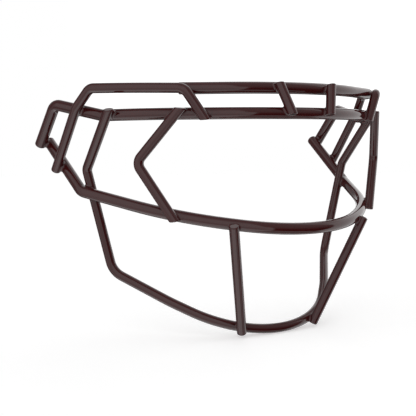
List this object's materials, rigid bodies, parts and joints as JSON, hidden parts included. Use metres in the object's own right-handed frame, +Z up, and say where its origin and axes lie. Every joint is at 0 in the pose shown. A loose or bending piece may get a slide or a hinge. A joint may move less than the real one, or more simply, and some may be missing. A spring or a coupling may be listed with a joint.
{
  "type": "helmet face guard",
  "caption": "Bent-wire face guard for a football helmet: two brow bars, a jaw bar and a chin bar joined by welded struts and side loops.",
  "frame": {"origin": "middle of the brow bar's centreline, at the front of the guard", "axes": "+X towards the wearer's left, +Y towards the back of the head, +Z up; the guard faces -Y and is the same on both sides of X = 0"},
  "size_m": [0.2412, 0.1431, 0.1587],
  "materials": {
    "coated_wire": "glossy dark maroon powder coat",
    "coated_weld": "glossy dark maroon powder coat over a weld bead"
  },
  "bodies": {
    "root": {"brow_bar": "coated_wire", "upper_brow_bar": "coated_wire", "jaw_bar": "coated_wire", "chin_bar": "coated_wire", "side_loop_left": "coated_wire", "side_loop_right": "coated_wire", "side_chevron_left": "coated_wire", "side_chevron_right": "coated_wire", "chin_strut_left": "coated_wire", "chin_strut_right": "coated_wire", "brow_strut_left": "coated_wire", "brow_strut_right": "coated_wire", "hinge_welds": "coated_weld", "chin_bar_brow_welds": "coated_weld", "chin_bar_jaw_welds": "coated_weld", "loop_jaw_welds": "coated_weld", "loop_side_welds": "coated_weld", "loop_upper_welds": "coated_weld", "loop_front_welds": "coated_weld", "chevron_brow_welds": "coated_weld", "chevron_jaw_welds": "coated_weld", "chin_strut_jaw_welds": "coated_weld", "chin_strut_chin_welds": "coated_weld", "brow_strut_upper_welds": "coated_weld", "brow_strut_brow_welds": "coated_weld"}
  },
  "joints": []
}
